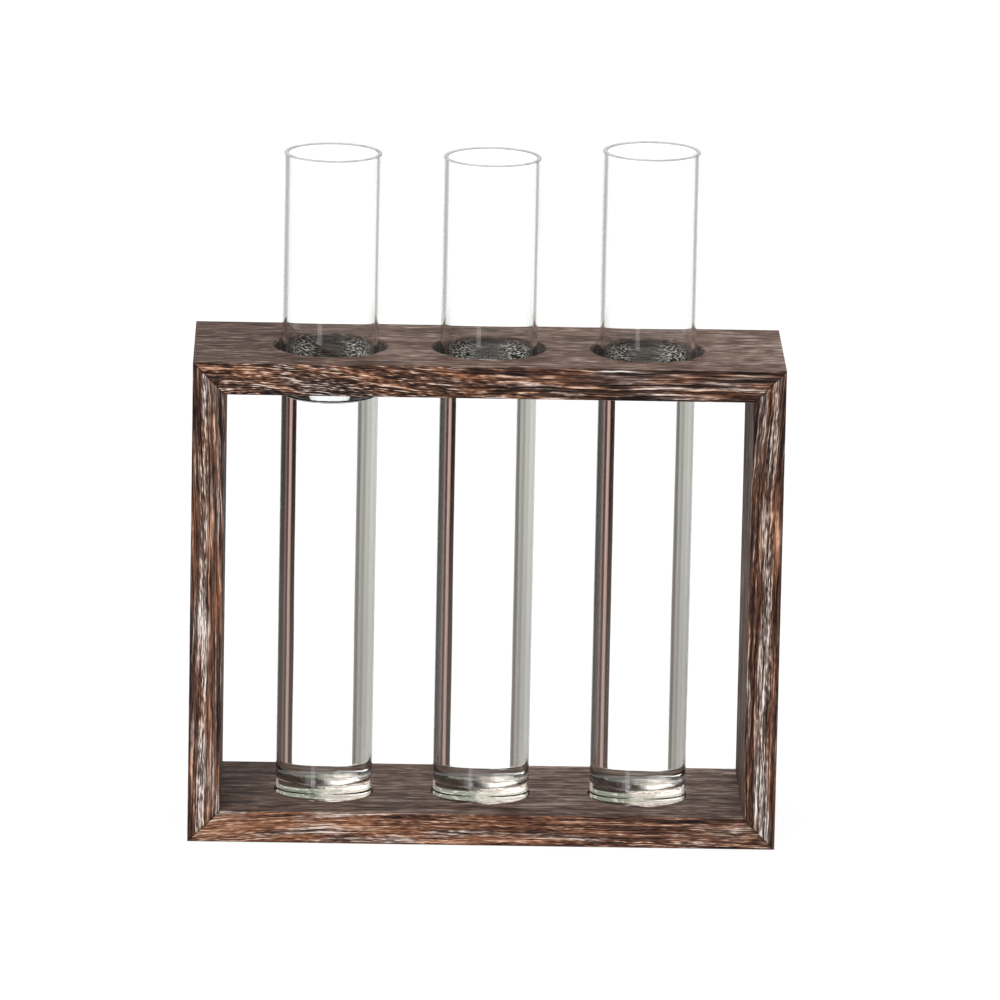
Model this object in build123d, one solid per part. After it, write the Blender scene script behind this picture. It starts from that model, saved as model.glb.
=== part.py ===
from build123d import *
import os

# Test tube vase: three flat-bottomed glass tubes stand in a box frame of four mitred boards.
# Millimetres. +X is to the right, +Y away from the viewer, +Z up.
# The origin is the middle of the frame's footprint, on the surface that the frame stands on.

# Glass tubes
tube_diameter = 30.0
tube_wall = 1.3
tube_base = 7.2
left_tube_length = 205.8
middle_tube_length = 205.2
right_tube_length = 207.8
heel_bevel = 2.0  # fills the inside corner between wall and base
foot_bevel = 1.0  # breaks the outside corner that stands in the recess
foot_ring_width = 4.0
underside_hollow = 0.4  # under the base, so that the tube stands on its ring
lip_rise = 0.35  # crown of the fire-polished lip

# Boards of the frame
board_thickness = 10.0
frame_depth = 60.0
frame_height = 152.0
arris_radius = 0.6  # sanded long edges

# Row of tubes in the boards
hole_clearance = 2.25  # all round a tube in the top rail
hole_ease = 0.5  # worn edge round each hole
recess_clearance = 0.4  # all round a tube in the bottom rail
recess_depth = 3.0
recess_ease = 0.3  # crisper edge round each recess
wood_between_holes = 14.5
wood_beside_row = 14.75  # from the outer holes to the inner faces of the stiles
row_forward = 2.0  # the drilled row lies a little in front of the middle of the boards

# Brads that pin the mitres, driven from the sides
brad_length = 20.0
brad_wire_width = 1.25
brad_wire_thickness = 1.0
brad_head_width = 2.0
brad_head_height = 0.7
brad_point_length = 1.6
brad_sink = 1.0  # how deep the heads lie under the side faces
brad_edge_distance = 15.0  # from the front and back faces

cut_overrun = 5.0  # how far every cutting tool runs past the face that it enters

# Places that follow from the sizes above
hole_radius = tube_diameter / 2 + hole_clearance
recess_radius = tube_diameter / 2 + recess_clearance
tube_pitch = 2 * hole_radius + wood_between_holes
frame_width = 2 * (tube_pitch + hole_radius + wood_beside_row + board_thickness)
row_y = -row_forward
seat_height = board_thickness - recess_depth
tube_places = {"left": -tube_pitch, "middle": 0, "right": tube_pitch}
tube_lengths = {"left": left_tube_length, "middle": middle_tube_length, "right": right_tube_length}


# A mitred board along X: its outer face lies on Z = 0, its shorter inner face above it
def mitred_board(length):
    half_outer = length / 2
    half_inner = half_outer - board_thickness
    outline = Polyline(
        (-half_outer, 0),
        (half_outer, 0),
        (half_inner, board_thickness),
        (-half_inner, board_thickness),
        close=True,
    )
    mitred = extrude(Plane.XZ * make_face(outline), frame_depth / 2, both=True)
    section = Pos(0, board_thickness / 2) * RectangleRounded(frame_depth, board_thickness, arris_radius)
    eased = extrude(Plane.YZ * section, half_outer, both=True)
    return mitred & eased


# The circular edges of a drilled board at its highest or lowest face
def rims(board, at):
    return board.edges().filter_by(GeomType.CIRCLE).group_by(Axis.Z)[at]


# Three holes right through the rail, with their edges eased on both faces
def drill_top(board, base_height):
    for x in tube_places.values():
        drill = Cylinder(
            hole_radius,
            board_thickness + 2 * cut_overrun,
            align=(Align.CENTER, Align.CENTER, Align.MIN),
        )
        board -= Pos(x, row_y, base_height - cut_overrun) * drill
    return chamfer(rims(board, -1) + rims(board, 0), hole_ease)


# Three blind recesses that the tubes stand in
def drill_bottom(board):
    for x in tube_places.values():
        drill = Cylinder(
            recess_radius,
            recess_depth + cut_overrun,
            align=(Align.CENTER, Align.CENTER, Align.MIN),
        )
        board -= Pos(x, row_y, seat_height) * drill
    return chamfer(rims(board, -1), recess_ease)


# A brad along +Z: flat wire with a T head, whose top lies on Z = 0, and a chisel point
def brad():
    half_head = brad_head_width / 2
    half_wire = brad_wire_width / 2
    point_start = brad_length - brad_point_length
    outline = Polyline(
        (-half_head, 0),
        (half_head, 0),
        (half_head, brad_head_height),
        (half_wire, brad_head_height),
        (half_wire, point_start),
        (0, brad_length),
        (-half_wire, point_start),
        (-half_wire, brad_head_height),
        (-half_head, brad_head_height),
        close=True,
    )
    return extrude(Plane.XZ * make_face(outline), brad_wire_thickness / 2, both=True)


# The slot that a brad and its punched-in head leave in the wood
def brad_slot():
    punched = Box(
        brad_head_width,
        brad_wire_thickness,
        brad_sink + cut_overrun + brad_head_height,
        align=(Align.CENTER, Align.CENTER, Align.MIN),
    )
    return brad() + Pos(0, 0, -brad_sink - cut_overrun) * punched


# Where the two brads of one corner lie: side is -1 at the left and 1 at the right
def corner_places(side, height):
    brad_y = frame_depth / 2 - brad_edge_distance
    return [
        Pos(side * (frame_width / 2 - brad_sink), y, height) * Rot(0, -side * 90, 0)
        for y in (-brad_y, brad_y)
    ]


# Section of a tube from its axis outwards, with radius across and height up
def tube_section(length):
    outer = tube_diameter / 2
    bore = outer - tube_wall
    ring = outer - foot_ring_width
    crown_start = length - lip_rise
    return make_face(
        [
            Line((0, underside_hollow), (ring, 0)),
            Line((ring, 0), (outer - foot_bevel, 0)),
            Line((outer - foot_bevel, 0), (outer, foot_bevel)),
            Line((outer, foot_bevel), (outer, crown_start)),
            ThreePointArc((outer, crown_start), (outer - tube_wall / 2, length), (bore, crown_start)),
            Line((bore, crown_start), (bore, tube_base + heel_bevel)),
            Line((bore, tube_base + heel_bevel), (bore - heel_bevel, tube_base)),
            Line((bore - heel_bevel, tube_base), (0, tube_base)),
            Line((0, tube_base), (0, underside_hollow)),
        ]
    )


def glass_tube(length):
    return revolve(Plane.XZ * tube_section(length), Axis.Z)


# The four boards, placed with their outer faces outwards
half_width = frame_width / 2
half_height = frame_height / 2
pieces = {
    "top_rail": drill_top(
        Pos(0, 0, frame_height) * Rot(180, 0, 0) * mitred_board(frame_width),
        frame_height - board_thickness,
    ),
    "bottom_rail": drill_bottom(mitred_board(frame_width)),
    "left_stile": Pos(-half_width, 0, half_height) * Rot(0, 90, 0) * mitred_board(frame_height),
    "right_stile": Pos(half_width, 0, half_height) * Rot(0, -90, 0) * mitred_board(frame_height),
}

# Two brads through each mitre, and their slots in the rail and the stile
brad_heights = {"top": frame_height - board_thickness / 2, "bottom": board_thickness / 2}
for level, height in brad_heights.items():
    for hand, side in {"left": -1, "right": 1}.items():
        places = corner_places(side, height)
        pieces[f"brads_{level}_{hand}"] = Compound([place * brad() for place in places])
        for board_name in (f"{level}_rail", f"{hand}_stile"):
            for place in places:
                pieces[board_name] -= place * brad_slot()

# The tubes stand on the floors of their recesses
for name, x in tube_places.items():
    pieces[f"tube_{name}"] = Pos(x, row_y, seat_height) * glass_tube(tube_lengths[name])

os.makedirs("parts", exist_ok=True)
for name, piece in pieces.items():
    export_step(piece, f"parts/{name}.step")
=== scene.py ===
import math

import bmesh
import bpy
from mathutils import Matrix, Vector


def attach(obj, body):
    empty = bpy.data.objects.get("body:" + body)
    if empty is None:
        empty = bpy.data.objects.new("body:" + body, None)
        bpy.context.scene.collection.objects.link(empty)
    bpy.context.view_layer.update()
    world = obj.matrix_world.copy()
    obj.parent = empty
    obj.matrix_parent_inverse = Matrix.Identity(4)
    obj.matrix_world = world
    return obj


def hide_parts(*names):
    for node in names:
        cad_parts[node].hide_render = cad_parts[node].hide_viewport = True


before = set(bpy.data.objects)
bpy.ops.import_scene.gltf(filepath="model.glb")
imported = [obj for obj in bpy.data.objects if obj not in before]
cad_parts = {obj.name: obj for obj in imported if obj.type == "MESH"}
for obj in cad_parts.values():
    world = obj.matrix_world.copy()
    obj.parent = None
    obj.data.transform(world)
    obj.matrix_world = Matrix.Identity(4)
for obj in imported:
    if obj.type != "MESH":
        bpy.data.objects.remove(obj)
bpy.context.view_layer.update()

# Test tube vase: water-filled glass tubes in a brushed and limed wooden frame.
# Millimetres in the tables and functions here, metres in the objects of the scene.
MM = 0.001

# Sizes that the looks share with the frame
FRAME_WIDTH = 182.0
FRAME_HEIGHT = 152.0
FRAME_DEPTH = 60.0
BOARD = 10.0
TUBE_PITCH = 49.0
ROW_Y = -2.0
SEAT = 7.0
TUBE_RADIUS = 15.0
TUBE_WALL = 1.3
TUBE_BASE = 7.2
HOLE_RADIUS = 17.25
RECESS_RADIUS = 15.4
TUBES = {
    # name: place along the row, length, height of the water
    "left": (-TUBE_PITCH, 205.8, 135.7),
    "middle": (0.0, 205.2, 144.6),
    "right": (TUBE_PITCH, 207.8, 143.8),
}


# Nodes


class Value:
    """One number at every point, as a socket of a node tree. Sums on it add Math nodes."""

    def __init__(self, nodes, socket):
        self.nodes = nodes
        self.socket = socket

    def math(self, operation, *others, clamp=False):
        return self.nodes.math(operation, self, *others, clamp=clamp)

    def __add__(self, other):
        return self.math("ADD", other)

    def __sub__(self, other):
        return self.math("SUBTRACT", other)

    def __mul__(self, other):
        return self.math("MULTIPLY", other)

    def __truediv__(self, other):
        return self.math("DIVIDE", other)

    def __pow__(self, other):
        return self.math("POWER", other)

    def __neg__(self):
        return self.math("MULTIPLY", -1.0)

    def __rsub__(self, other):
        return self.nodes.math("SUBTRACT", other, self)

    def __rtruediv__(self, other):
        return self.nodes.math("DIVIDE", other, self)

    __radd__ = __add__
    __rmul__ = __mul__

    def size(self):
        return self.math("ABSOLUTE")

    def least(self, other):
        return self.math("MINIMUM", other)

    def most(self, other):
        return self.math("MAXIMUM", other)

    def clamped(self):
        return self.math("ADD", 0.0, clamp=True)

    def step(self, start, end):
        """0 where this is below start, 1 above end, and a smooth rise between them."""
        node = self.nodes.add(
            "ShaderNodeMapRange",
            {"interpolation_type": "SMOOTHSTEP"},
            {"Value": self, "From Min": start, "From Max": end},
        )
        return Value(self.nodes, node.outputs["Result"])

    def ramp(self, stops):
        """A colour that changes along this value, through stops of (place, colour)."""
        node = self.nodes.add("ShaderNodeValToRGB", {"stops": stops}, {"Fac": self})
        return node.outputs["Color"]


class Nodes:
    """A node tree, and the few ways in which nodes are added to it."""

    def __init__(self, tree):
        self.tree = tree

    def feed(self, socket, value):
        if isinstance(value, Value):
            value = value.socket
        if isinstance(value, bpy.types.NodeSocket):
            self.tree.links.new(value, socket)
        else:
            socket.default_value = value

    def add(self, kind, settings=None, values=None):
        """A node of this kind: its settings come first, then the values or links of its sockets."""
        node = self.tree.nodes.new(kind)
        for name, setting in (settings or {}).items():
            if name == "stops":
                self.set_stops(node.color_ramp.elements, setting)
            else:
                setattr(node, name, setting)
        for name, value in (values or {}).items():
            self.feed(node.inputs[name], value)
        return node

    def set_stops(self, elements, stops):
        while len(elements) < len(stops):
            elements.new(1.0)
        for element, (place, colour) in zip(elements, stops):
            element.position = place
            element.color = colour

    def math(self, operation, *numbers, clamp=False):
        node = self.add(
            "ShaderNodeMath",
            {"operation": operation, "use_clamp": clamp},
            dict(enumerate(numbers)),
        )
        return Value(self, node.outputs[0])

    def vector(self, x, y, z):
        return self.add("ShaderNodeCombineXYZ", None, {"X": x, "Y": y, "Z": z}).outputs[0]

    def split(self, vector):
        node = self.add("ShaderNodeSeparateXYZ", None, {0: vector})
        return [Value(self, output) for output in node.outputs]

    def place(self):
        """Where each point of the piece lies, in millimetres."""
        return self.split(self.scaled(self.add("ShaderNodeTexCoord").outputs["Object"], 1 / MM))

    def scaled(self, vector, factor):
        node = self.add("ShaderNodeVectorMath", {"operation": "SCALE"}, {0: vector, "Scale": factor})
        return node.outputs[0]

    def blend(self, share, first, second):
        """A colour: first where share is 0, second where it is 1."""
        node = self.add(
            "ShaderNodeMix",
            {"data_type": "RGBA", "clamp_factor": True},
            {0: share, 6: first, 7: second},
        )
        return node.outputs[2]

    def noise(self, x, y, z, detail=2.0):
        node = self.add(
            "ShaderNodeTexNoise",
            {"noise_dimensions": "3D"},
            {"Vector": self.vector(x, y, z), "Scale": 1.0, "Detail": detail, "Roughness": 0.5},
        )
        return Value(self, node.outputs[0])

    def bump(self, height, strength, distance):
        """Relief that changes only how light falls, over this distance in millimetres."""
        node = self.add(
            "ShaderNodeBump", None, {"Strength": strength, "Distance": distance * MM, "Height": height}
        )
        return node.outputs[0]


def material(name):
    made = bpy.data.materials.new(name)
    made.use_nodes = True
    made.node_tree.nodes.clear()
    return made, Nodes(made.node_tree)


def show(nodes, shader):
    nodes.add("ShaderNodeOutputMaterial", None, {"Surface": shader})


def show_principled(nodes, values):
    show(nodes, nodes.add("ShaderNodeBsdfPrincipled", None, values).outputs[0])


def tone(red, green, blue):
    """A screen colour from 0 to 255 as a linear one."""

    def linear(level):
        level /= 255
        return level / 12.92 if level <= 0.04045 else ((level + 0.055) / 1.055) ** 2.4

    return (linear(red), linear(green), linear(blue), 1.0)


def grey(level):
    return (level, level, level, 1.0)


# Studio

DEGREES = 180 / math.pi

# The camera, as fitted to the photograph: its focal length is in pixels of that picture
CAMERA_YAW = 1.0587
CAMERA_PITCH = 13.3946
CAMERA_ROLL = 1.1347
CAMERA_DISTANCE = 2915.4
CAMERA_TARGET = (4.36, 0.0, 103.12)
FOCAL_LENGTH = 9390.7
PICTURE_WIDTH = 1000
SENSOR_WIDTH = 36.0
CLIP_START = 50.0
CLIP_END = 50000.0
RAIL_PITCH = 12.5  # how far down the camera looks to the top rail

# Each lamp: place, size, strength
LAMPS = {
    "softbox_left": ((-1000.0, -2300.0, 1500.0), (900.0, 1500.0), 34.0),
    "softbox_top": ((200.0, 100.0, 1900.0), (1400.0, 1400.0), 16.0),
}
LAMPS_AIM = (0, 0, 90)

FLOOR_REACH = 4000.0
FLOOR_PAPER = 0.9
FLOOR_GLOW = 1.06
FLOOR_GLOW_SHARE = 0.84  # the rest of what the camera sees is paper, which shows the shadow


def add_camera():
    angles = (CAMERA_YAW, CAMERA_PITCH, CAMERA_ROLL)
    yaw, pitch, roll = (math.radians(angle) for angle in angles)
    forward = Vector(
        (math.sin(yaw) * math.cos(pitch), math.cos(yaw) * math.cos(pitch), -math.sin(pitch))
    )
    level = Vector((math.cos(yaw), -math.sin(yaw), 0.0))
    right = Matrix.Rotation(-roll, 3, forward) @ level
    up = right.cross(forward)
    data = bpy.data.cameras.new("camera")
    data.sensor_width = SENSOR_WIDTH
    data.lens = FOCAL_LENGTH * SENSOR_WIDTH / PICTURE_WIDTH
    data.clip_start = CLIP_START * MM
    data.clip_end = CLIP_END * MM
    camera = bpy.data.objects.new("camera", data)
    place = Vector(CAMERA_TARGET) - forward * CAMERA_DISTANCE
    turn = Matrix((right, up, -forward)).transposed().to_4x4()
    camera.matrix_world = Matrix.Translation(place * MM) @ turn
    bpy.context.scene.collection.objects.link(camera)
    bpy.context.scene.camera = camera


def add_lamp(name, place, size, strength):
    data = bpy.data.lights.new(name, "AREA")
    data.shape = "RECTANGLE"
    data.size, data.size_y = (length * MM for length in size)
    data.energy = strength
    lamp = bpy.data.objects.new(name, data)
    lamp.location = Vector(place) * MM
    direction = Vector(LAMPS_AIM) - Vector(place)
    lamp.rotation_euler = direction.to_track_quat("-Z", "Y").to_euler()
    bpy.context.scene.collection.objects.link(lamp)


# The room's light, and how bright glass shows its parts
ROOM_LIGHT = 0.62
BACKGROUND_THROUGH_GLASS = 1.3  # makes up for what the glass itself takes away
TABLE_THROUGH_GLASS = 1.6
ROOM_BEHIND_CAMERA = 0.4
STRIP_LIGHT = 2.6
STRIP_BEARING = 26.0

# Where one part of the room fades into the next: (start, end) in degrees
OFF_LEVEL = (5.0, 9.0)
SIDES_END = (2.4, 4.0)
UP_TO_FAR_WALL = (10.0, 12.0)
DOWN_TO_TABLE = (46.0, 56.0)
DARK_LEFT = (14.0, 24.0)
GREY_RIGHT = (18.0, 30.0)
STRIP_SIDES = (4.0, 6.5)
STRIP_ENDS = (40.0, 50.0)
SIDES_FADED = (-14.6, -12.9)
RAIL_BLUR = (-0.15, 0.15)
WALL_LIT = (-9.0, 3.0)
LAVENDER_SIDES = (1.5, 3.0)
LAVENDER_BEARING = 9.0

# How wide and high the waves and streaks of the room are, in degrees
WAVERING = (19.0, 3.4)
STREAKS = (2.2, 20.0)
SHAPES = (14.0, 2.4)

# What stands beside the white background of the studio. Only the glass shows it, as the
# narrow grey and brown bands along the edges of the tubes.
SIDES = {
    # side, -1 left and 1 right: tone above the rail, then (bearing from straight behind, tone)
    -1: (
        tone(202, 202, 199),
        [
            (19.0, tone(214, 210, 204)),
            (20.4, tone(130, 125, 118)),
            (22.0, tone(126, 122, 116)),
            (23.6, tone(194, 191, 185)),
            (26.0, tone(182, 180, 174)),
            (28.0, tone(168, 166, 160)),
            (30.0, tone(204, 203, 197)),
            (33.0, tone(216, 216, 210)),
            (36.0, tone(206, 206, 200)),
            (39.0, tone(230, 231, 226)),
            (46.0, tone(236, 237, 232)),
            (60.0, tone(238, 238, 234)),
            (72.0, tone(240, 240, 238)),
        ],
    ),
    1: (
        tone(192, 191, 188),
        [
            (23.4, tone(110, 84, 76)),
            (24.8, tone(44, 24, 20)),
            (28.2, tone(40, 22, 18)),
            (29.4, tone(206, 168, 158)),
            (32.4, tone(226, 192, 183)),
            (33.8, tone(96, 62, 55)),
            (36.4, tone(84, 56, 50)),
            (38.4, tone(140, 118, 112)),
            (41.0, tone(110, 94, 90)),
            (43.0, tone(72, 66, 64)),
            (56.0, tone(62, 60, 59)),
            (66.0, tone(110, 106, 104)),
            (74.0, tone(190, 188, 186)),
        ],
    ),
}


def room_waves(nodes, bearing, height, sizes, seed, detail):
    """Waves in the room of these sizes, either side of 0."""
    wide, high = sizes
    return nodes.noise(bearing / wide, height / high, seed, detail) - 0.5


def beside_background(nodes, side, bearing, height):
    """The tones on one side of the background, and the share of each direction that they fill."""
    above_rail, stops = SIDES[side]
    first, last = stops[0][0], stops[-1][0]
    wavering = room_waves(nodes, bearing, height, WAVERING, seed=0.0, detail=2.0)
    share = (bearing * side + wavering * 1.6 - first) / (last - first)
    colour = share.ramp([((at - first) / (last - first), shade) for at, shade in stops])
    faded = (1.0 - height.step(*SIDES_FADED)) * 0.3
    colour = nodes.blend(faded, colour, tone(150, 138, 132))
    colour = nodes.blend((height + RAIL_PITCH).step(*RAIL_BLUR), colour, above_rail)
    level = 1.0 - (height + CAMERA_PITCH).size().step(*SIDES_END)
    filled = share.step(0.0, 0.004) * (1.0 - share.step(0.99, 1.0)) * level
    return colour, filled


def far_wall(nodes, bearing, height):
    """What the thick bases of the tubes show of the room: a dark wall, lit from the left."""
    streaks = room_waves(nodes, bearing, height, STREAKS, seed=0.0, detail=2.0)
    shapes = room_waves(nodes, bearing, height, SHAPES, seed=7.0, detail=3.0)
    lit_side = 1.0 - (bearing + 12.0 * streaks).step(*WALL_LIT)
    dark = nodes.blend(streaks.step(-0.1, 0.16), tone(40, 27, 22), tone(92, 80, 75))
    light = nodes.blend(shapes.step(-0.12, 0.04), tone(150, 124, 110), tone(255, 246, 238))
    colour = nodes.blend(lit_side, dark, light)
    lavender = 1.0 - (bearing - LAVENDER_BEARING).size().step(*LAVENDER_SIDES)
    colour = nodes.blend(lavender * 0.8, colour, tone(168, 158, 160))
    return nodes.scaled(colour, 1.0 + 0.7 * lit_side)


def seen_through_glass(nodes, bounced, height, bearing, away):
    """White where the camera looks, with the tones beside it, and greyer above and below."""
    greyer = nodes.blend(bounced, tone(236, 237, 235), tone(164, 164, 162))
    off_level = (height + CAMERA_PITCH).size().step(*OFF_LEVEL)
    seen = nodes.blend(off_level, grey(BACKGROUND_THROUGH_GLASS), greyer)
    for side in SIDES:
        tones, filled = beside_background(nodes, side, bearing, height)
        seen = nodes.blend(filled, seen, tones)

    # Light that has bounced inside the glass shows the rest of the room
    upward = height.step(*UP_TO_FAR_WALL) * bounced
    seen = nodes.blend(upward, seen, far_wall(nodes, bearing, height))
    seen = nodes.blend((1.0 - away) * bounced, seen, tone(70, 64, 60))
    table = nodes.blend(bounced, grey(TABLE_THROUGH_GLASS), tone(226, 230, 226))
    return nodes.blend((-height).step(*DOWN_TO_TABLE), seen, table)


def mirrored_in_glass(nodes, height, bearing, from_camera, away):
    """The room is dark on its left and grey on its right, with a strip light near the camera."""
    seen = nodes.blend(away, grey(ROOM_BEHIND_CAMERA), grey(1.0))
    left = (-bearing).step(*DARK_LEFT) * away
    seen = nodes.blend(left, seen, tone(64, 54, 50))
    right = bearing.step(*GREY_RIGHT) * away
    seen = nodes.blend(right, seen, tone(186, 186, 182))
    strip = 1.0 - (from_camera - STRIP_BEARING).size().step(*STRIP_SIDES)
    low = 1.0 - height.size().step(*STRIP_ENDS)
    return nodes.blend(strip * low, seen, grey(STRIP_LIGHT))


def add_world():
    world = bpy.data.worlds.new("room")
    world.use_nodes = True
    world.node_tree.nodes.clear()
    bpy.context.scene.world = world
    nodes = Nodes(world.node_tree)
    path = nodes.add("ShaderNodeLightPath")
    camera_ray, glossy_ray, through_ray, bounces = (
        Value(nodes, path.outputs[name])
        for name in ("Is Camera Ray", "Is Glossy Ray", "Is Transmission Ray", "Glossy Depth")
    )
    east, north, up = nodes.split(nodes.add("ShaderNodeTexCoord").outputs["Generated"])
    height = up.math("ARCSINE") * DEGREES
    bearing = east.math("ARCTAN2", north) * DEGREES
    from_camera = (-east).math("ARCTAN2", -north) * DEGREES
    away = north.step(-0.25, 0.2)

    soft = nodes.scaled(nodes.vector(1.0, 1.0, 1.0), ROOM_LIGHT * (0.8 + 0.4 * up.step(-0.2, 1.0)))
    mirrored = mirrored_in_glass(nodes, height, bearing, from_camera, away)
    through = seen_through_glass(nodes, bounces.least(1.0), height, bearing, away)
    light = nodes.blend(glossy_ray, soft, mirrored)
    light = nodes.blend(through_ray, light, through)
    light = nodes.blend(camera_ray, light, grey(1.0))
    background = nodes.add("ShaderNodeBackground", None, {"Color": light, "Strength": 1.0})
    nodes.add("ShaderNodeOutputWorld", None, {"Surface": background.outputs[0]})


def add_floor():
    look, nodes = material("white_floor")
    path = nodes.add("ShaderNodeLightPath")
    paper = nodes.add("ShaderNodeBsdfDiffuse", None, {"Color": grey(FLOOR_PAPER)})
    glow = nodes.add("ShaderNodeEmission", None, {"Color": grey(1.0), "Strength": FLOOR_GLOW})
    share = Value(nodes, path.outputs["Is Camera Ray"]) * FLOOR_GLOW_SHARE
    mixed = nodes.add("ShaderNodeMixShader", None, {0: share, 1: paper.outputs[0], 2: glow.outputs[0]})
    show(nodes, mixed.outputs[0])
    mesh = bpy.data.meshes.new("floor")
    signs = ((-1, -1), (1, -1), (1, 1), (-1, 1))
    reach = FLOOR_REACH * MM
    mesh.from_pydata([(x * reach, y * reach, 0.0) for x, y in signs], [], [(0, 1, 2, 3)])
    mesh.materials.append(look)
    floor = bpy.data.objects.new("floor", mesh)
    bpy.context.scene.collection.objects.link(floor)
    floor.visible_transmission = False
    floor.visible_glossy = False


# Turned pieces: a profile of (radius, height) goes once round its axis


def rounded(corners, steps=8):
    """The line through corners of (radius, height, rounding), with each corner rounded."""
    points = []
    for i, (x, y, rounding) in enumerate(corners):
        here = Vector((x, y))
        if rounding == 0:
            points.append(here)
            continue
        before = (Vector(corners[i - 1][:2]) - here).normalized()
        after = (Vector(corners[i + 1][:2]) - here).normalized()
        half = before.angle(after) / 2
        centre = here + (before + after).normalized() * rounding / math.sin(half)
        start = here + before * rounding / math.tan(half) - centre
        end = here + after * rounding / math.tan(half) - centre
        sweep = start.angle_signed(end)
        for k in range(steps + 1):
            turn = Matrix.Rotation(-sweep * k / steps, 2)
            points.append(centre + turn @ start)
    return points


def supported(points, reach=0.5, longest=24.0):
    """The same line with points close to the ends of its long stretches."""
    result = [points[0]]
    for start, end in zip(points, points[1:]):
        run = (end - start).length
        if run > 4 * reach:
            count = max(1, round((run - 2 * reach) / longest))
            for k in range(count + 1):
                at = reach + (run - 2 * reach) * k / count
                result.append(start.lerp(end, at / run))
        result.append(end)
    return result


MERGE_DISTANCE = 0.002
SHARP_ANGLE = math.radians(38)


def lathe_tree():
    """A node group that bends a grid round an upright axis, with its rows along a profile."""
    tree = bpy.data.node_groups.new("lathe", "GeometryNodeTree")
    tree.interface.new_socket("Geometry", in_out="INPUT", socket_type="NodeSocketGeometry")
    sides = tree.interface.new_socket("Sides", in_out="INPUT", socket_type="NodeSocketInt")
    place = tree.interface.new_socket("Axis place", in_out="INPUT", socket_type="NodeSocketVector")
    look = tree.interface.new_socket("Material", in_out="INPUT", socket_type="NodeSocketMaterial")
    tree.interface.new_socket("Geometry", in_out="OUTPUT", socket_type="NodeSocketGeometry")
    nodes = Nodes(tree)
    given = nodes.add("NodeGroupInput").outputs
    rows = nodes.add("GeometryNodeAttributeDomainSize", {"component": "MESH"}, {0: given["Geometry"]})
    row_count = Value(nodes, rows.outputs["Point Count"])
    grid = nodes.add(
        "GeometryNodeMeshGrid",
        None,
        {
            "Size X": 1.0,
            "Size Y": 1.0,
            "Vertices X": row_count,
            "Vertices Y": Value(nodes, given["Sides"]) + 1.0,
        },
    )
    position = nodes.add("GeometryNodeInputPosition").outputs[0]
    up_grid, round_grid, _ = nodes.split(position)
    row = ((up_grid + 0.5) * (row_count - 1.0)).math("ROUND")
    angle = (round_grid + 0.5) * (2 * math.pi)
    sampled = nodes.add(
        "GeometryNodeSampleIndex",
        {"data_type": "FLOAT_VECTOR", "domain": "POINT"},
        {"Geometry": given["Geometry"], "Value": position, "Index": row},
    )
    radius, _, height = nodes.split(sampled.outputs[0])
    turned = nodes.vector(radius * angle.math("COSINE"), radius * angle.math("SINE"), height)
    moved = nodes.add("ShaderNodeVectorMath", {"operation": "ADD"}, {0: turned, 1: given["Axis place"]})
    shaped = nodes.add(
        "GeometryNodeSetPosition", None, {"Geometry": grid.outputs["Mesh"], "Position": moved.outputs[0]}
    )
    merged = nodes.add(
        "GeometryNodeMergeByDistance",
        None,
        {"Geometry": shaped.outputs[0], "Distance": MERGE_DISTANCE * MM},
    )
    real = nodes.add("GeometryNodeRealizeInstances", None, {0: merged.outputs[0]})
    finished = nodes.add(
        "GeometryNodeSetMaterial", None, {"Geometry": real.outputs[0], "Material": given["Material"]}
    )
    nodes.add("NodeGroupOutput", None, {0: finished.outputs[0]})
    return tree, {"sides": sides, "place": place, "material": look}


LATHE, LATHE_INPUTS = lathe_tree()


def facing_out(mesh):
    """Turns all faces of a closed mesh outwards."""
    work = bmesh.new()
    work.from_mesh(mesh)
    bmesh.ops.recalc_face_normals(work, faces=work.faces)
    work.to_mesh(mesh)
    work.free()


def turned(name, profile, x, look, sides=160):
    """A solid of revolution about the upright axis at x, on the row of tubes."""
    line = bpy.data.meshes.new(name)
    line.from_pydata([(r * MM, 0, z * MM) for r, z in profile], [], [])
    blank = bpy.data.objects.new(name, line)
    bpy.context.scene.collection.objects.link(blank)
    lathe = blank.modifiers.new("lathe", "NODES")
    lathe.node_group = LATHE
    lathe[LATHE_INPUTS["sides"].identifier] = sides
    lathe[LATHE_INPUTS["place"].identifier] = (x * MM, ROW_Y * MM, 0)
    lathe[LATHE_INPUTS["material"].identifier] = look
    evaluated = blank.evaluated_get(bpy.context.evaluated_depsgraph_get())
    mesh = bpy.data.meshes.new_from_object(evaluated)
    blank.modifiers.clear()
    blank.data = mesh
    mesh.name = name
    facing_out(mesh)
    mesh.shade_smooth()
    mesh.set_sharp_from_angle(angle=SHARP_ANGLE)
    return blank


# Glass and water

FOOT_GAP = 0.05  # air between a tube and the wood that it stands on
FOOT_RING = 4.0
FOOT_RING_ROUNDING = 6.0
FOOT_ROUNDING = 0.45
UNDERSIDE_RISE = 0.45
HEEL_ROUNDING = 2.0
LIP_SKIN = 0.02
LIP_ROUNDING = 0.32
LIP_DEPTH = 0.4
WATER_OVERLAP = 0.04  # the water reaches this far into the glass, so no air lies between them
MENISCUS_RISE = 1.7
MENISCUS_SPREAD = 1.9
MENISCUS_STEPS = 22
MENISCUS_CROWDING = 1.6  # the steps lie closer together near the glass
GLASS_IOR = 1.5
WATER_IOR = 1.333
WATER_DEEP, WATER_SHALLOW = 13.0, 150.0  # heights between which the water's tint fades


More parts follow.
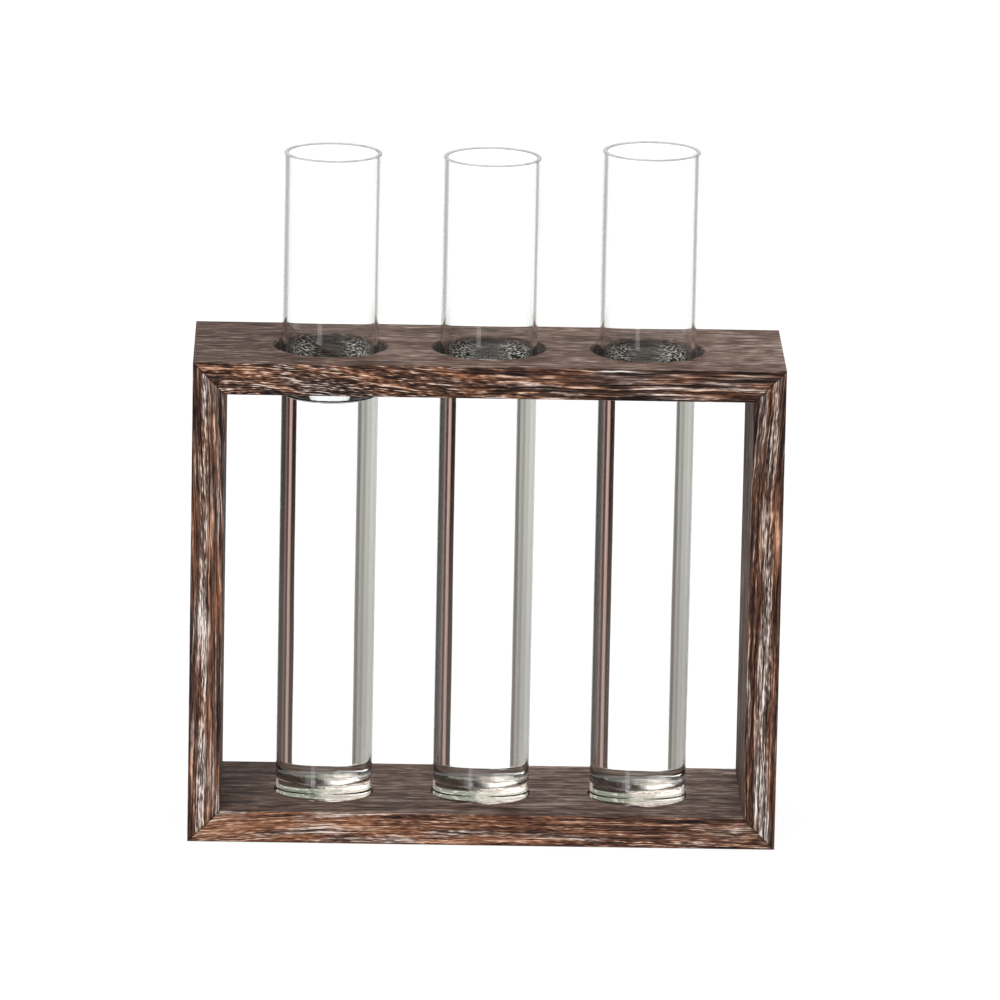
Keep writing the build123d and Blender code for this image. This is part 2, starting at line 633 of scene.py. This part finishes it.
def glass_profile(length):
    bore = TUBE_RADIUS - TUBE_WALL
    bottom, top = SEAT + FOOT_GAP, SEAT + length - LIP_SKIN
    corners = [
        (0.0, bottom + UNDERSIDE_RISE, 0),
        (TUBE_RADIUS - FOOT_RING, bottom, FOOT_RING_ROUNDING),
        (TUBE_RADIUS, bottom, FOOT_ROUNDING),
        (TUBE_RADIUS, top, LIP_ROUNDING),
        (bore, top, LIP_ROUNDING),
        (bore, SEAT + TUBE_BASE, HEEL_ROUNDING),
        (0.0, SEAT + TUBE_BASE, 0),
    ]
    return supported(rounded(corners))


def lip_profile(length):
    """The satin skin over the ground lip, closed through the inside of the wall."""
    top = SEAT + length
    outer, inner = TUBE_RADIUS + LIP_SKIN, TUBE_RADIUS - TUBE_WALL - LIP_SKIN
    inside_wall = ((outer + inner) / 2, top - LIP_DEPTH, 0)
    corners = [
        inside_wall,
        (outer, top - LIP_DEPTH, 0),
        (outer, top, LIP_ROUNDING),
        (inner, top, LIP_ROUNDING),
        (inner, top - LIP_DEPTH, 0),
        inside_wall,
    ]
    return rounded(corners)


def water_profile(level):
    bore = TUBE_RADIUS - TUBE_WALL + WATER_OVERLAP
    floor = SEAT + TUBE_BASE - WATER_OVERLAP
    corners = [
        (0.0, floor, 0),
        (bore, floor, HEEL_ROUNDING),
        (bore, level + MENISCUS_RISE, 0),
    ]
    surface = []
    for k in range(1, MENISCUS_STEPS + 1):
        radius = bore * (1 - (k / MENISCUS_STEPS) ** MENISCUS_CROWDING)
        rise = MENISCUS_RISE * math.exp((radius - bore) / MENISCUS_SPREAD)
        surface.append(Vector((radius, level + rise)))
    return supported(rounded(corners)) + surface


def ground_lip():
    look, nodes = material("ground_lip")
    x, y, z = nodes.place()
    cloud = nodes.noise(x * 0.3, y * 0.3, z * 0.3)
    grit = nodes.noise(x * 9.0, y * 9.0, z * 9.0, detail=1.0)
    colour = nodes.blend(cloud.step(0.3, 0.7), tone(168, 169, 167), tone(192, 193, 191))
    values = {
        "Base Color": colour,
        "Roughness": 0.45 + 0.2 * grit,
        "Normal": nodes.bump(grit, strength=0.2, distance=0.03),
    }
    show_principled(nodes, values)
    return look


def clear_glass():
    look, nodes = material("clear_glass")
    x, y, z = nodes.place()
    waves = nodes.noise(x * 0.16, y * 0.16, z * 0.02, detail=1.0)
    smears = nodes.noise(x * 0.05, y * 0.05, z * 0.03, detail=3.0).step(0.5, 0.8)
    values = {
        "Base Color": (0.985, 0.992, 0.987, 1.0),
        "Roughness": 0.004 + 0.012 * smears,
        "IOR": GLASS_IOR,
        "Transmission Weight": 1.0,
        "Normal": nodes.bump(waves, strength=0.25, distance=0.12),
    }
    show_principled(nodes, values)
    return look


def still_water():
    look, nodes = material("still_water")
    x, y, z = nodes.place()
    clearer = z.step(WATER_DEEP, WATER_SHALLOW)
    colour = nodes.blend(clearer, (0.975, 0.99, 0.985, 1.0), (0.99, 0.995, 0.995, 1.0))
    values = {"Base Color": colour, "Roughness": 0.0, "IOR": WATER_IOR, "Transmission Weight": 1.0}
    show_principled(nodes, values)
    return look


def brad_steel():
    look, nodes = material("brad_steel")
    x, y, z = nodes.place()
    drawn = nodes.noise(x * 0.4, y * 6.0, z * 6.0, detail=3.0)
    spots = nodes.noise(x * 2.0, y * 2.0, z * 2.0).step(0.5, 0.66)
    values = {
        "Base Color": nodes.blend(spots, (0.42, 0.41, 0.39, 1.0), (0.16, 0.12, 0.09, 1.0)),
        "Metallic": 1.0 - 0.7 * spots,
        "Roughness": 0.32 + 0.3 * drawn,
        "Normal": nodes.bump(drawn, strength=0.3, distance=0.05),
    }
    show_principled(nodes, values)
    return look


# Wood

CHARRED = tone(30, 24, 21)

# What the height of the brushed grain looks like: (height, colour) from the pits to the ridges
STAINED_GRAIN = [
    (0.28, tone(28, 20, 18)),
    (0.40, tone(48, 34, 29)),
    (0.46, tone(76, 53, 44)),
    (0.55, tone(98, 69, 56)),
    (0.60, tone(152, 111, 88)),
    (0.66, tone(196, 158, 134)),
    (0.75, tone(226, 206, 192)),
]
ORANGE_GRAIN = [
    (0.28, tone(40, 27, 22)),
    (0.40, tone(78, 50, 39)),
    (0.47, tone(118, 78, 58)),
    (0.56, tone(150, 104, 78)),
    (0.62, tone(184, 140, 113)),
    (0.71, tone(216, 186, 164)),
]
LIMED_GRAIN = [
    (0.28, tone(28, 22, 20)),
    (0.40, tone(54, 43, 39)),
    (0.47, tone(92, 78, 72)),
    (0.54, tone(132, 118, 111)),
    (0.60, tone(196, 186, 179)),
    (0.68, tone(236, 231, 227)),
]
SMOOTH_GRAIN = [
    (0.26, tone(30, 21, 18)),
    (0.40, tone(66, 50, 43)),
    (0.49, tone(94, 75, 66)),
    (0.58, tone(116, 97, 87)),
    (0.72, tone(164, 148, 138)),
]

# Each kind of fibre: its length and its width
SHORT_FIBRE = (3.0, 0.42)
MIDDLE_FIBRE = (7.0, 1.1)
LONG_FIBRE = (30.0, 1.1)
HAIR = (18.0, 0.38)
PLANED_FIBRE = (16.0, 2.0)
PLANED_FUZZ = (5.0, 0.8)
TORN_FIBRE = (1.0, 0.24)
DRAWN_FIBRE = (7.0, 0.6)
FIBRE_DEPTH = 8  # in widths
TORN_SLANT = 0.6

# Each kind of wave: its length along, across and into the board
SWAY = (58, 30, 36)
RIPPLE = (9, 4, 5)
CLOUD = (40, 30, 12)
FIGURE_LENGTH = 30

# Where a finish fades out, as a distance past the edge that it belongs to: (start, end)
BORE_MARGIN = (0.05, 0.15)
CHARRED_MARGIN = (0.3, 0.9)
RECESS_MARGIN = (-0.2, -0.1)
MITRE_MARGIN = (0.1, 0.4)

# The walls of the drilled places, with their painted light and shade: (start, end) beside the tube's
# axis, or in height
HOLE_SHADE_SIDES = (12.5, 15.5)
DARKER_TOP = (6.5, 9.5)  # up from the underside of the top rail
PAINTED_LIGHT_FOOT_TOP = (8.35, 8.6)
PAINTED_SHADE_LEFT = (3.6, 4.4)
PAINTED_LIGHT_RIGHT = (-0.9, 0.7)
RECESS_SHADE_SIDES = (14.4, 14.9)

# For each board: how its grain lies, and what its front shows along and across it.
# level and depth: the middle of the grain's height, and how deep it is brushed
# fall: (share of the length, how far the figure has dropped inwards, as a share of the board)
# follow: how far the fibres fall with the figure, and figure: how strongly its bands show
# grain: (share of the length, short, middling and long fibres), from 0 to 1
# tones: (share of the length, orange, limed, dark)
# across: (share from the outer to the inner edge, limed, dark, short fibres)
BOARDS = {
    "top_rail": {
        "seed": 11.0,
        "level": 0.503,
        "depth": 0.88,
        "lean": 0.32,
        "bend": 0.8,
        "fall": [(0.0, 0.0), (0.11, 0.1), (0.27, 0.95), (0.433, 1.75), (0.67, 2.2), (1.0, 2.25)],
        "follow": 0.3,
        "figure": 1.0,
        "grain": [
            (0.00, 0.9, 0.4, 0.3),
            (0.30, 1.0, 0.4, 0.2),
            (0.40, 0.7, 0.8, 0.2),
            (0.52, 0.4, 1.0, 0.4),
            (0.64, 0.2, 0.5, 0.9),
            (1.00, 0.1, 0.3, 1.1),
        ],
        "tones": [
            (0.00, 0.35, 0.25, 0.55),
            (0.12, 0.40, 0.50, 0.50),
            (0.22, 0.25, 0.55, 0.50),
            (0.30, 0.50, 0.35, 0.45),
            (0.38, 0.60, 0.25, 0.45),
            (0.46, 0.40, 0.10, 0.58),
            (0.62, 0.30, 0.15, 0.50),
            (0.70, 0.15, 0.45, 0.38),
            (0.93, 0.10, 0.50, 0.38),
            (1.00, 0.40, 0.05, 0.50),
        ],
        "across": [
            (0.00, 0.0, 0.4, 0.0),
            (0.12, 0.0, 0.0, 0.0),
            (0.85, 0.0, 0.1, 0.3),
            (1.00, 0.1, 0.5, 0.5),
        ],
    },
    "bottom_rail": {
        "seed": 37.0,
        "level": 0.523,
        "depth": 0.82,
        "lean": -0.28,
        "bend": 1.2,
        "fall": [(0.0, 0.5), (0.25, 0.9), (0.5, 0.9), (1.0, 0.5)],
        "follow": 0.7,
        "figure": 0.6,
        "grain": [
            (0.00, 0.5, 0.3, 0.4),
            (0.30, 0.6, 0.3, 0.3),
            (0.55, 0.6, 0.4, 0.3),
            (0.75, 0.5, 0.5, 0.4),
            (1.00, 0.4, 0.5, 0.6),
        ],
        "tones": [
            (0.00, 0.95, 0.30, 0.00),
            (0.25, 1.00, 0.20, 0.00),
            (0.50, 0.70, 0.10, 0.20),
            (0.75, 0.50, 0.15, 0.30),
            (1.00, 0.10, 0.40, 0.40),
        ],
        "across": [
            (0.00, 0.0, 0.3, 0.2),
            (0.10, 0.2, 0.0, 0.2),
            (0.35, 0.1, 0.0, 0.0),
            (0.70, 0.0, 0.1, 0.0),
            (1.00, 0.0, 0.3, 0.0),
        ],
    },
    "left_stile": {
        "seed": 53.0,
        "level": 0.517,
        "depth": 0.73,
        "lean": 0.3,
        "bend": 0.35,
        "fall": [(0.0, 0.3), (0.5, 0.3), (0.8, 0.15), (1.0, 0.0)],
        "follow": 1.0,
        "figure": 0.5,
        "grain": [
            (0.00, 0.4, 0.2, 0.8),
            (0.35, 0.3, 0.2, 0.9),
            (0.60, 0.3, 0.2, 0.9),
            (1.00, 0.4, 0.2, 0.8),
        ],
        "tones": [
            (0.00, 0.40, 0.55, 0.00),
            (0.30, 0.50, 0.45, 0.00),
            (0.50, 0.60, 0.35, 0.05),
            (0.75, 0.50, 0.35, 0.20),
            (1.00, 0.20, 0.45, 0.25),
        ],
        "across": [
            (0.00, 0.0, 0.6, 0.0),
            (0.26, 0.0, 0.4, 0.1),
            (0.32, 0.4, 0.1, 0.6),
            (0.46, 0.3, 0.1, 0.5),
            (0.55, 0.1, 0.0, 0.0),
            (0.78, 0.1, 0.2, 0.0),
            (0.90, 0.0, 0.7, 0.0),
            (1.00, 0.0, 0.9, 0.0),
        ],
    },
    "right_stile": {
        "seed": 71.0,
        "level": 0.509,
        "depth": 0.73,
        "lean": -0.3,
        "bend": 0.45,
        "fall": [(0.0, 0.4), (0.5, 0.35), (0.75, 0.28), (1.0, 0.0)],
        "follow": 1.0,
        "figure": 0.5,
        "grain": [
            (0.00, 0.3, 0.2, 0.9),
            (0.40, 0.4, 0.3, 0.8),
            (0.70, 0.4, 0.3, 0.8),
            (1.00, 0.3, 0.2, 0.9),
        ],
        "tones": [
            (0.00, 0.20, 0.60, 0.05),
            (0.30, 0.30, 0.50, 0.08),
            (0.50, 0.45, 0.30, 0.15),
            (0.70, 0.40, 0.20, 0.15),
            (1.00, 0.20, 0.35, 0.30),
        ],
        "across": [
            (0.00, 0.0, 0.4, 0.0),
            (0.20, 0.0, 0.3, 0.0),
            (0.30, 0.5, 0.2, 0.4),
            (0.50, 0.4, 0.2, 0.4),
            (0.66, 0.1, 0.0, 0.1),
            (0.80, 0.0, 0.4, 0.2),
            (1.00, 0.0, 0.6, 0.0),
        ],
    },
}


def board_axes(name, x, y, z):
    """Millimetres along the board's grain, in from its outer face, and back from its front."""
    half = FRAME_WIDTH / 2
    depth = y + FRAME_DEPTH / 2
    if name == "top_rail":
        return x + half, FRAME_HEIGHT - z, depth
    if name == "bottom_rail":
        return x + half, z, depth
    if name == "left_stile":
        return z, x + half, depth
    return z, half - x, depth


def in_zones(nodes, share, stops):
    """Up to three numbers that change along share, through stops of (share, number, ...)."""
    colours = [(at, (*numbers, 0.0, 0.0)[:3] + (1.0,)) for at, *numbers in stops]
    parts = nodes.add("ShaderNodeSeparateColor", None, {0: share.ramp(colours)})
    return [Value(nodes, output) for output in parts.outputs]


def waves(nodes, place, sizes, seed, detail):
    """Soft waves of these sizes, either side of 0."""
    along, across, depth = (part / size for part, size in zip(place, sizes))
    return nodes.noise(along, across, depth + seed, detail) - 0.5


def fibres(nodes, along, strand, depth, size, seed, detail=2.0):
    """How high the grain stands, either side of 0, in fibres of this length and width."""
    length, width = size
    depth = depth / (width * FIBRE_DEPTH) + seed
    return nodes.noise(along / length, strand / width + seed, depth, detail) - 0.5


def figure(nodes, along, ring, depth, seed):
    """The wide bands of the figure, either side of 0."""
    return (nodes.noise(along / FIGURE_LENGTH, ring, depth * 0.1 + seed) - 0.5) * 2.4


def brushed_grain(nodes, recipe, share, place):
    """The narrow faces: their colour, the height of their grain, and its short fibres."""
    seed = recipe["seed"]
    along, across, depth = place

    # The grain wanders a little along the board, and its figure falls across it
    sway = waves(nodes, place, SWAY, seed, detail=1.0)
    ripple = waves(nodes, place, RIPPLE, seed, detail=2.0)
    fall = in_zones(nodes, share, recipe["fall"])[0] * BOARD
    level = across + depth * recipe["lean"] + sway * recipe["bend"] * 2
    ring = level - fall + ripple * 1.2
    strand = level - fall * recipe["follow"] + ripple * 0.9

    # Where each finish lies
    short_zone, middle_zone, long_zone = in_zones(nodes, share, recipe["grain"])
    orange_zone, limed_zone, dark_zone = in_zones(nodes, share, recipe["tones"])
    wandered = (across + sway * recipe["bend"] + ripple * 0.8) / BOARD
    limed_edge, dark_edge, short_edge = in_zones(nodes, wandered, recipe["across"])

    # Fibres of three lengths, with fine hair over them, and the bands of the figure
    short = fibres(nodes, along, strand, depth, SHORT_FIBRE, seed, detail=1.0)
    middle = fibres(nodes, along, strand, depth, MIDDLE_FIBRE, seed * 2)
    long = fibres(nodes, along, strand, depth, LONG_FIBRE, seed * 3)
    hair = fibres(nodes, along, strand, depth, HAIR, seed * 4, detail=1.0)
    brushed = (
        short * (short_zone + short_edge) * 0.95
        + middle * middle_zone * 0.9
        + long * long_zone * 1.05
        + hair * 0.75
    )
    band = figure(nodes, along, ring * 0.36, depth, seed * 5)
    other = figure(nodes, along, ring * 0.34, depth, seed * 7)

    # The colours follow the height of the grain
    shade = 0.04 * (limed_zone + limed_edge) - 0.1 * (dark_zone + dark_edge)
    height = recipe["level"] + brushed * recipe["depth"] + 0.13 * recipe["figure"] * band + shade
    orange = (orange_zone - 0.2 + 1.6 * band - 0.5 * dark_edge).clamped()
    limed = (limed_zone + limed_edge - 0.3 + 1.8 * other).clamped()
    colour = nodes.blend(orange, height.ramp(STAINED_GRAIN), height.ramp(ORANGE_GRAIN))
    return nodes.blend(limed, colour, height.ramp(LIMED_GRAIN)), brushed, short


def planed_grain(nodes, seed, lift, place):
    """The wide faces: their colour, made lighter by lift, and the height of their grain."""
    along, across, depth = place
    cloud = waves(nodes, place, CLOUD, seed, detail=2.0)
    planed = fibres(nodes, along, depth, across, PLANED_FIBRE, seed, detail=4.0)
    fuzz = fibres(nodes, along, depth, across, PLANED_FUZZ, seed * 2)
    smooth = 0.475 + planed * 0.7 + fuzz * 0.75 + cloud * 0.3 + lift
    return smooth.ramp(SMOOTH_GRAIN), planed * 0.5 + fuzz * 0.5


def within(distance, edge, margin):
    """1 up to an edge, and 0 beyond it, with the change over this margin."""
    start, end = margin
    return 1.0 - distance.step(edge + start, edge + end)


def from_tube(x, y):
    """How far to the right of the nearest tube's axis a point lies, and how far from it in all."""
    tube_number = (x / TUBE_PITCH).math("ROUND").least(1.0).most(-1.0)
    beside = x - TUBE_PITCH * tube_number
    return beside, (beside ** 2 + (y - ROW_Y) ** 2) ** 0.5


def hole_wall(nodes, seed, across_grain, beside, x, y, z):
    """The wall of a hole, dark with stain: long fibres, and torn pale ones where it cuts across the
    grain, with painted shade at its sides and darker towards its top.
    """
    torn = fibres(nodes, y - TORN_SLANT * z, z + TORN_SLANT * y, x, TORN_FIBRE, seed, detail=3.0)
    drawn = fibres(nodes, x, z, y, DRAWN_FIBRE, seed * 2, detail=3.0)
    long_grain = nodes.blend(drawn.step(-0.12, 0.18), tone(30, 25, 22), tone(84, 77, 70))
    open_grain = nodes.blend(torn.step(0.0, 0.1), tone(20, 17, 15), tone(204, 203, 197))
    wall = nodes.blend(across_grain, long_grain, open_grain)
    # Painted shade at the sides of the hole, where the gap beside the tube is narrow; the wall is also
    # darker towards its top
    darker_top = (z - FRAME_HEIGHT + BOARD).step(*DARKER_TOP)
    painted_shade_and_dark_top = beside.size().step(*HOLE_SHADE_SIDES).most(darker_top)
    return nodes.blend(painted_shade_and_dark_top * 0.75, wall, tone(50, 39, 34))


def recess_wall(nodes, seed, wide, beside, x, y, z):
    """The wall of a recess, with painted light low down and on its right, painted shade on its left and
    at its sides, and its plain floor.
    """
    drawn = fibres(nodes, x, z, y, DRAWN_FIBRE, seed * 2, detail=3.0)
    specks = nodes.noise(x * 2.4, z * 3.2, y * 0.5) - 0.5
    # Painted light on the right of the wall, where light through the tube would fall, and painted shade
    # on its left
    painted_light_right = (beside + specks * 2.4).step(*PAINTED_LIGHT_RIGHT)
    # Painted light low on the wall, pale and greenish with painted glints and darker specks, standing in
    # for the light in the tube's glass base
    painted_light_foot = nodes.blend(painted_light_right, tone(160, 166, 148), tone(224, 216, 202))
    painted_light_foot = nodes.blend(specks.step(0.06, 0.16) * 0.8, painted_light_foot, tone(255, 252, 246))
    painted_light_foot = nodes.blend((-specks).step(0.1, 0.2) * 0.6, painted_light_foot, tone(150, 138, 124))
    # Painted light with painted glints, high on the wall's right
    bright = nodes.blend(specks.step(-0.12, 0.08), tone(176, 148, 132), tone(255, 248, 240))
    # The wall's dark stain, which stands as painted shade on its left
    stain_and_shade = nodes.blend(drawn.step(-0.1, 0.15), tone(44, 34, 30), tone(86, 72, 66))
    upper = nodes.blend(painted_light_right, stain_and_shade, bright)
    wall = nodes.blend((z + specks * 0.5).step(*PAINTED_LIGHT_FOOT_TOP), painted_light_foot, upper)
    # Painted shade over the left part of the wall
    wall = nodes.blend((-beside).step(*PAINTED_SHADE_LEFT), wall, stain_and_shade)
    # Painted shade at the sides, in the narrow gap beside the tube
    wall = nodes.blend(beside.size().step(*RECESS_SHADE_SIDES), wall, tone(36, 27, 23))
    bottom = nodes.blend(drawn.step(-0.1, 0.15), tone(66, 54, 48), tone(98, 84, 76))
    return nodes.blend(wide, wall, bottom)


def drilled(nodes, name, colour, face, wide, x, y, z):
    """A rail's colour, with the rims and walls of its holes or its recesses."""
    seed = BOARDS[name]["seed"]
    beside, from_axis = from_tube(x, y)
    if name == "top_rail":
        charred = within(from_axis, HOLE_RADIUS, CHARRED_MARGIN) * wide
        colour = nodes.blend(charred * 0.8, colour, CHARRED)
        wall = hole_wall(nodes, seed, face[0].size().step(0.1, 0.5), beside, x, y, z)
        return nodes.blend(within(from_axis, HOLE_RADIUS, BORE_MARGIN) * (1.0 - wide), colour, wall)
    wall = recess_wall(nodes, seed, wide, beside, x, y, z)
    bored = within(from_axis, RECESS_RADIUS, BORE_MARGIN) * within(z, BOARD, RECESS_MARGIN)
    return nodes.blend(bored, colour, wall)


def mitre_line(x, z, waver):
    """Where the glue lines of the mitres show."""
    from_side = FRAME_WIDTH / 2 - x.size()
    from_edge = z.least(FRAME_HEIGHT - z)
    return within((from_side - from_edge).size() + waver, 0.0, MITRE_MARGIN)


def brushed_wood(name, recipe):
    look, nodes = material(name + "_wood")
    x, y, z = nodes.place()
    face = nodes.split(nodes.add("ShaderNodeNewGeometry").outputs["Normal"])
    is_rail = name.endswith("rail")
    place = board_axes(name, x, y, z)
    share = place[0] / (FRAME_WIDTH if is_rail else FRAME_HEIGHT)

    # The narrow faces are brushed, and the wide ones are smoother and greyer
    wide = (face[2] if is_rail else face[0]).size().step(0.55, 0.85)
    lift = 0.07 * (share - 0.25) if is_rail else 0.0
    colour, brushed, short = brushed_grain(nodes, recipe, share, place)
    smooth, planed = planed_grain(nodes, recipe["seed"], lift, place)
    colour = nodes.blend(wide, colour, smooth)
    relief = brushed * (1.0 - wide) + planed * wide
    if is_rail:
        colour = drilled(nodes, name, colour, face, wide, x, y, z)
    joint = mitre_line(x, z, short) * (1.0 - wide)
    values = {
        "Base Color": nodes.blend(joint * 0.85, colour, CHARRED),
        "Roughness": 0.62 + 0.6 * relief,
        "Specular IOR Level": 0.06,
        "Normal": nodes.bump(relief, strength=0.9, distance=0.4),
    }
    show_principled(nodes, values)
    return look


# Everything together

add_camera()
add_world()
add_floor()
for lamp_name, measures in LAMPS.items():
    add_lamp(lamp_name, *measures)

finishes = {board: brushed_wood(board, recipe) for board, recipe in BOARDS.items()}
steel = brad_steel()
for node_name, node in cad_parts.items():
    if not node_name.startswith("tube"):
        node.data.materials.clear()
        node.data.materials.append(finishes.get(node_name, steel))

glass, lip_finish, water = clear_glass(), ground_lip(), still_water()
for tube, (x, length, level) in TUBES.items():
    wall = turned("glass_" + tube, glass_profile(length), x, glass)
    lip = turned("lip_" + tube, lip_profile(length), x, lip_finish)
    filling = turned("water_" + tube, water_profile(level), x, water)
    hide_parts("tube_" + tube)
    for piece in (wall, lip, filling):
        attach(piece, tube + "_tube")
        piece.visible_shadow = False

bpy.context.scene.view_settings.view_transform = "Standard"
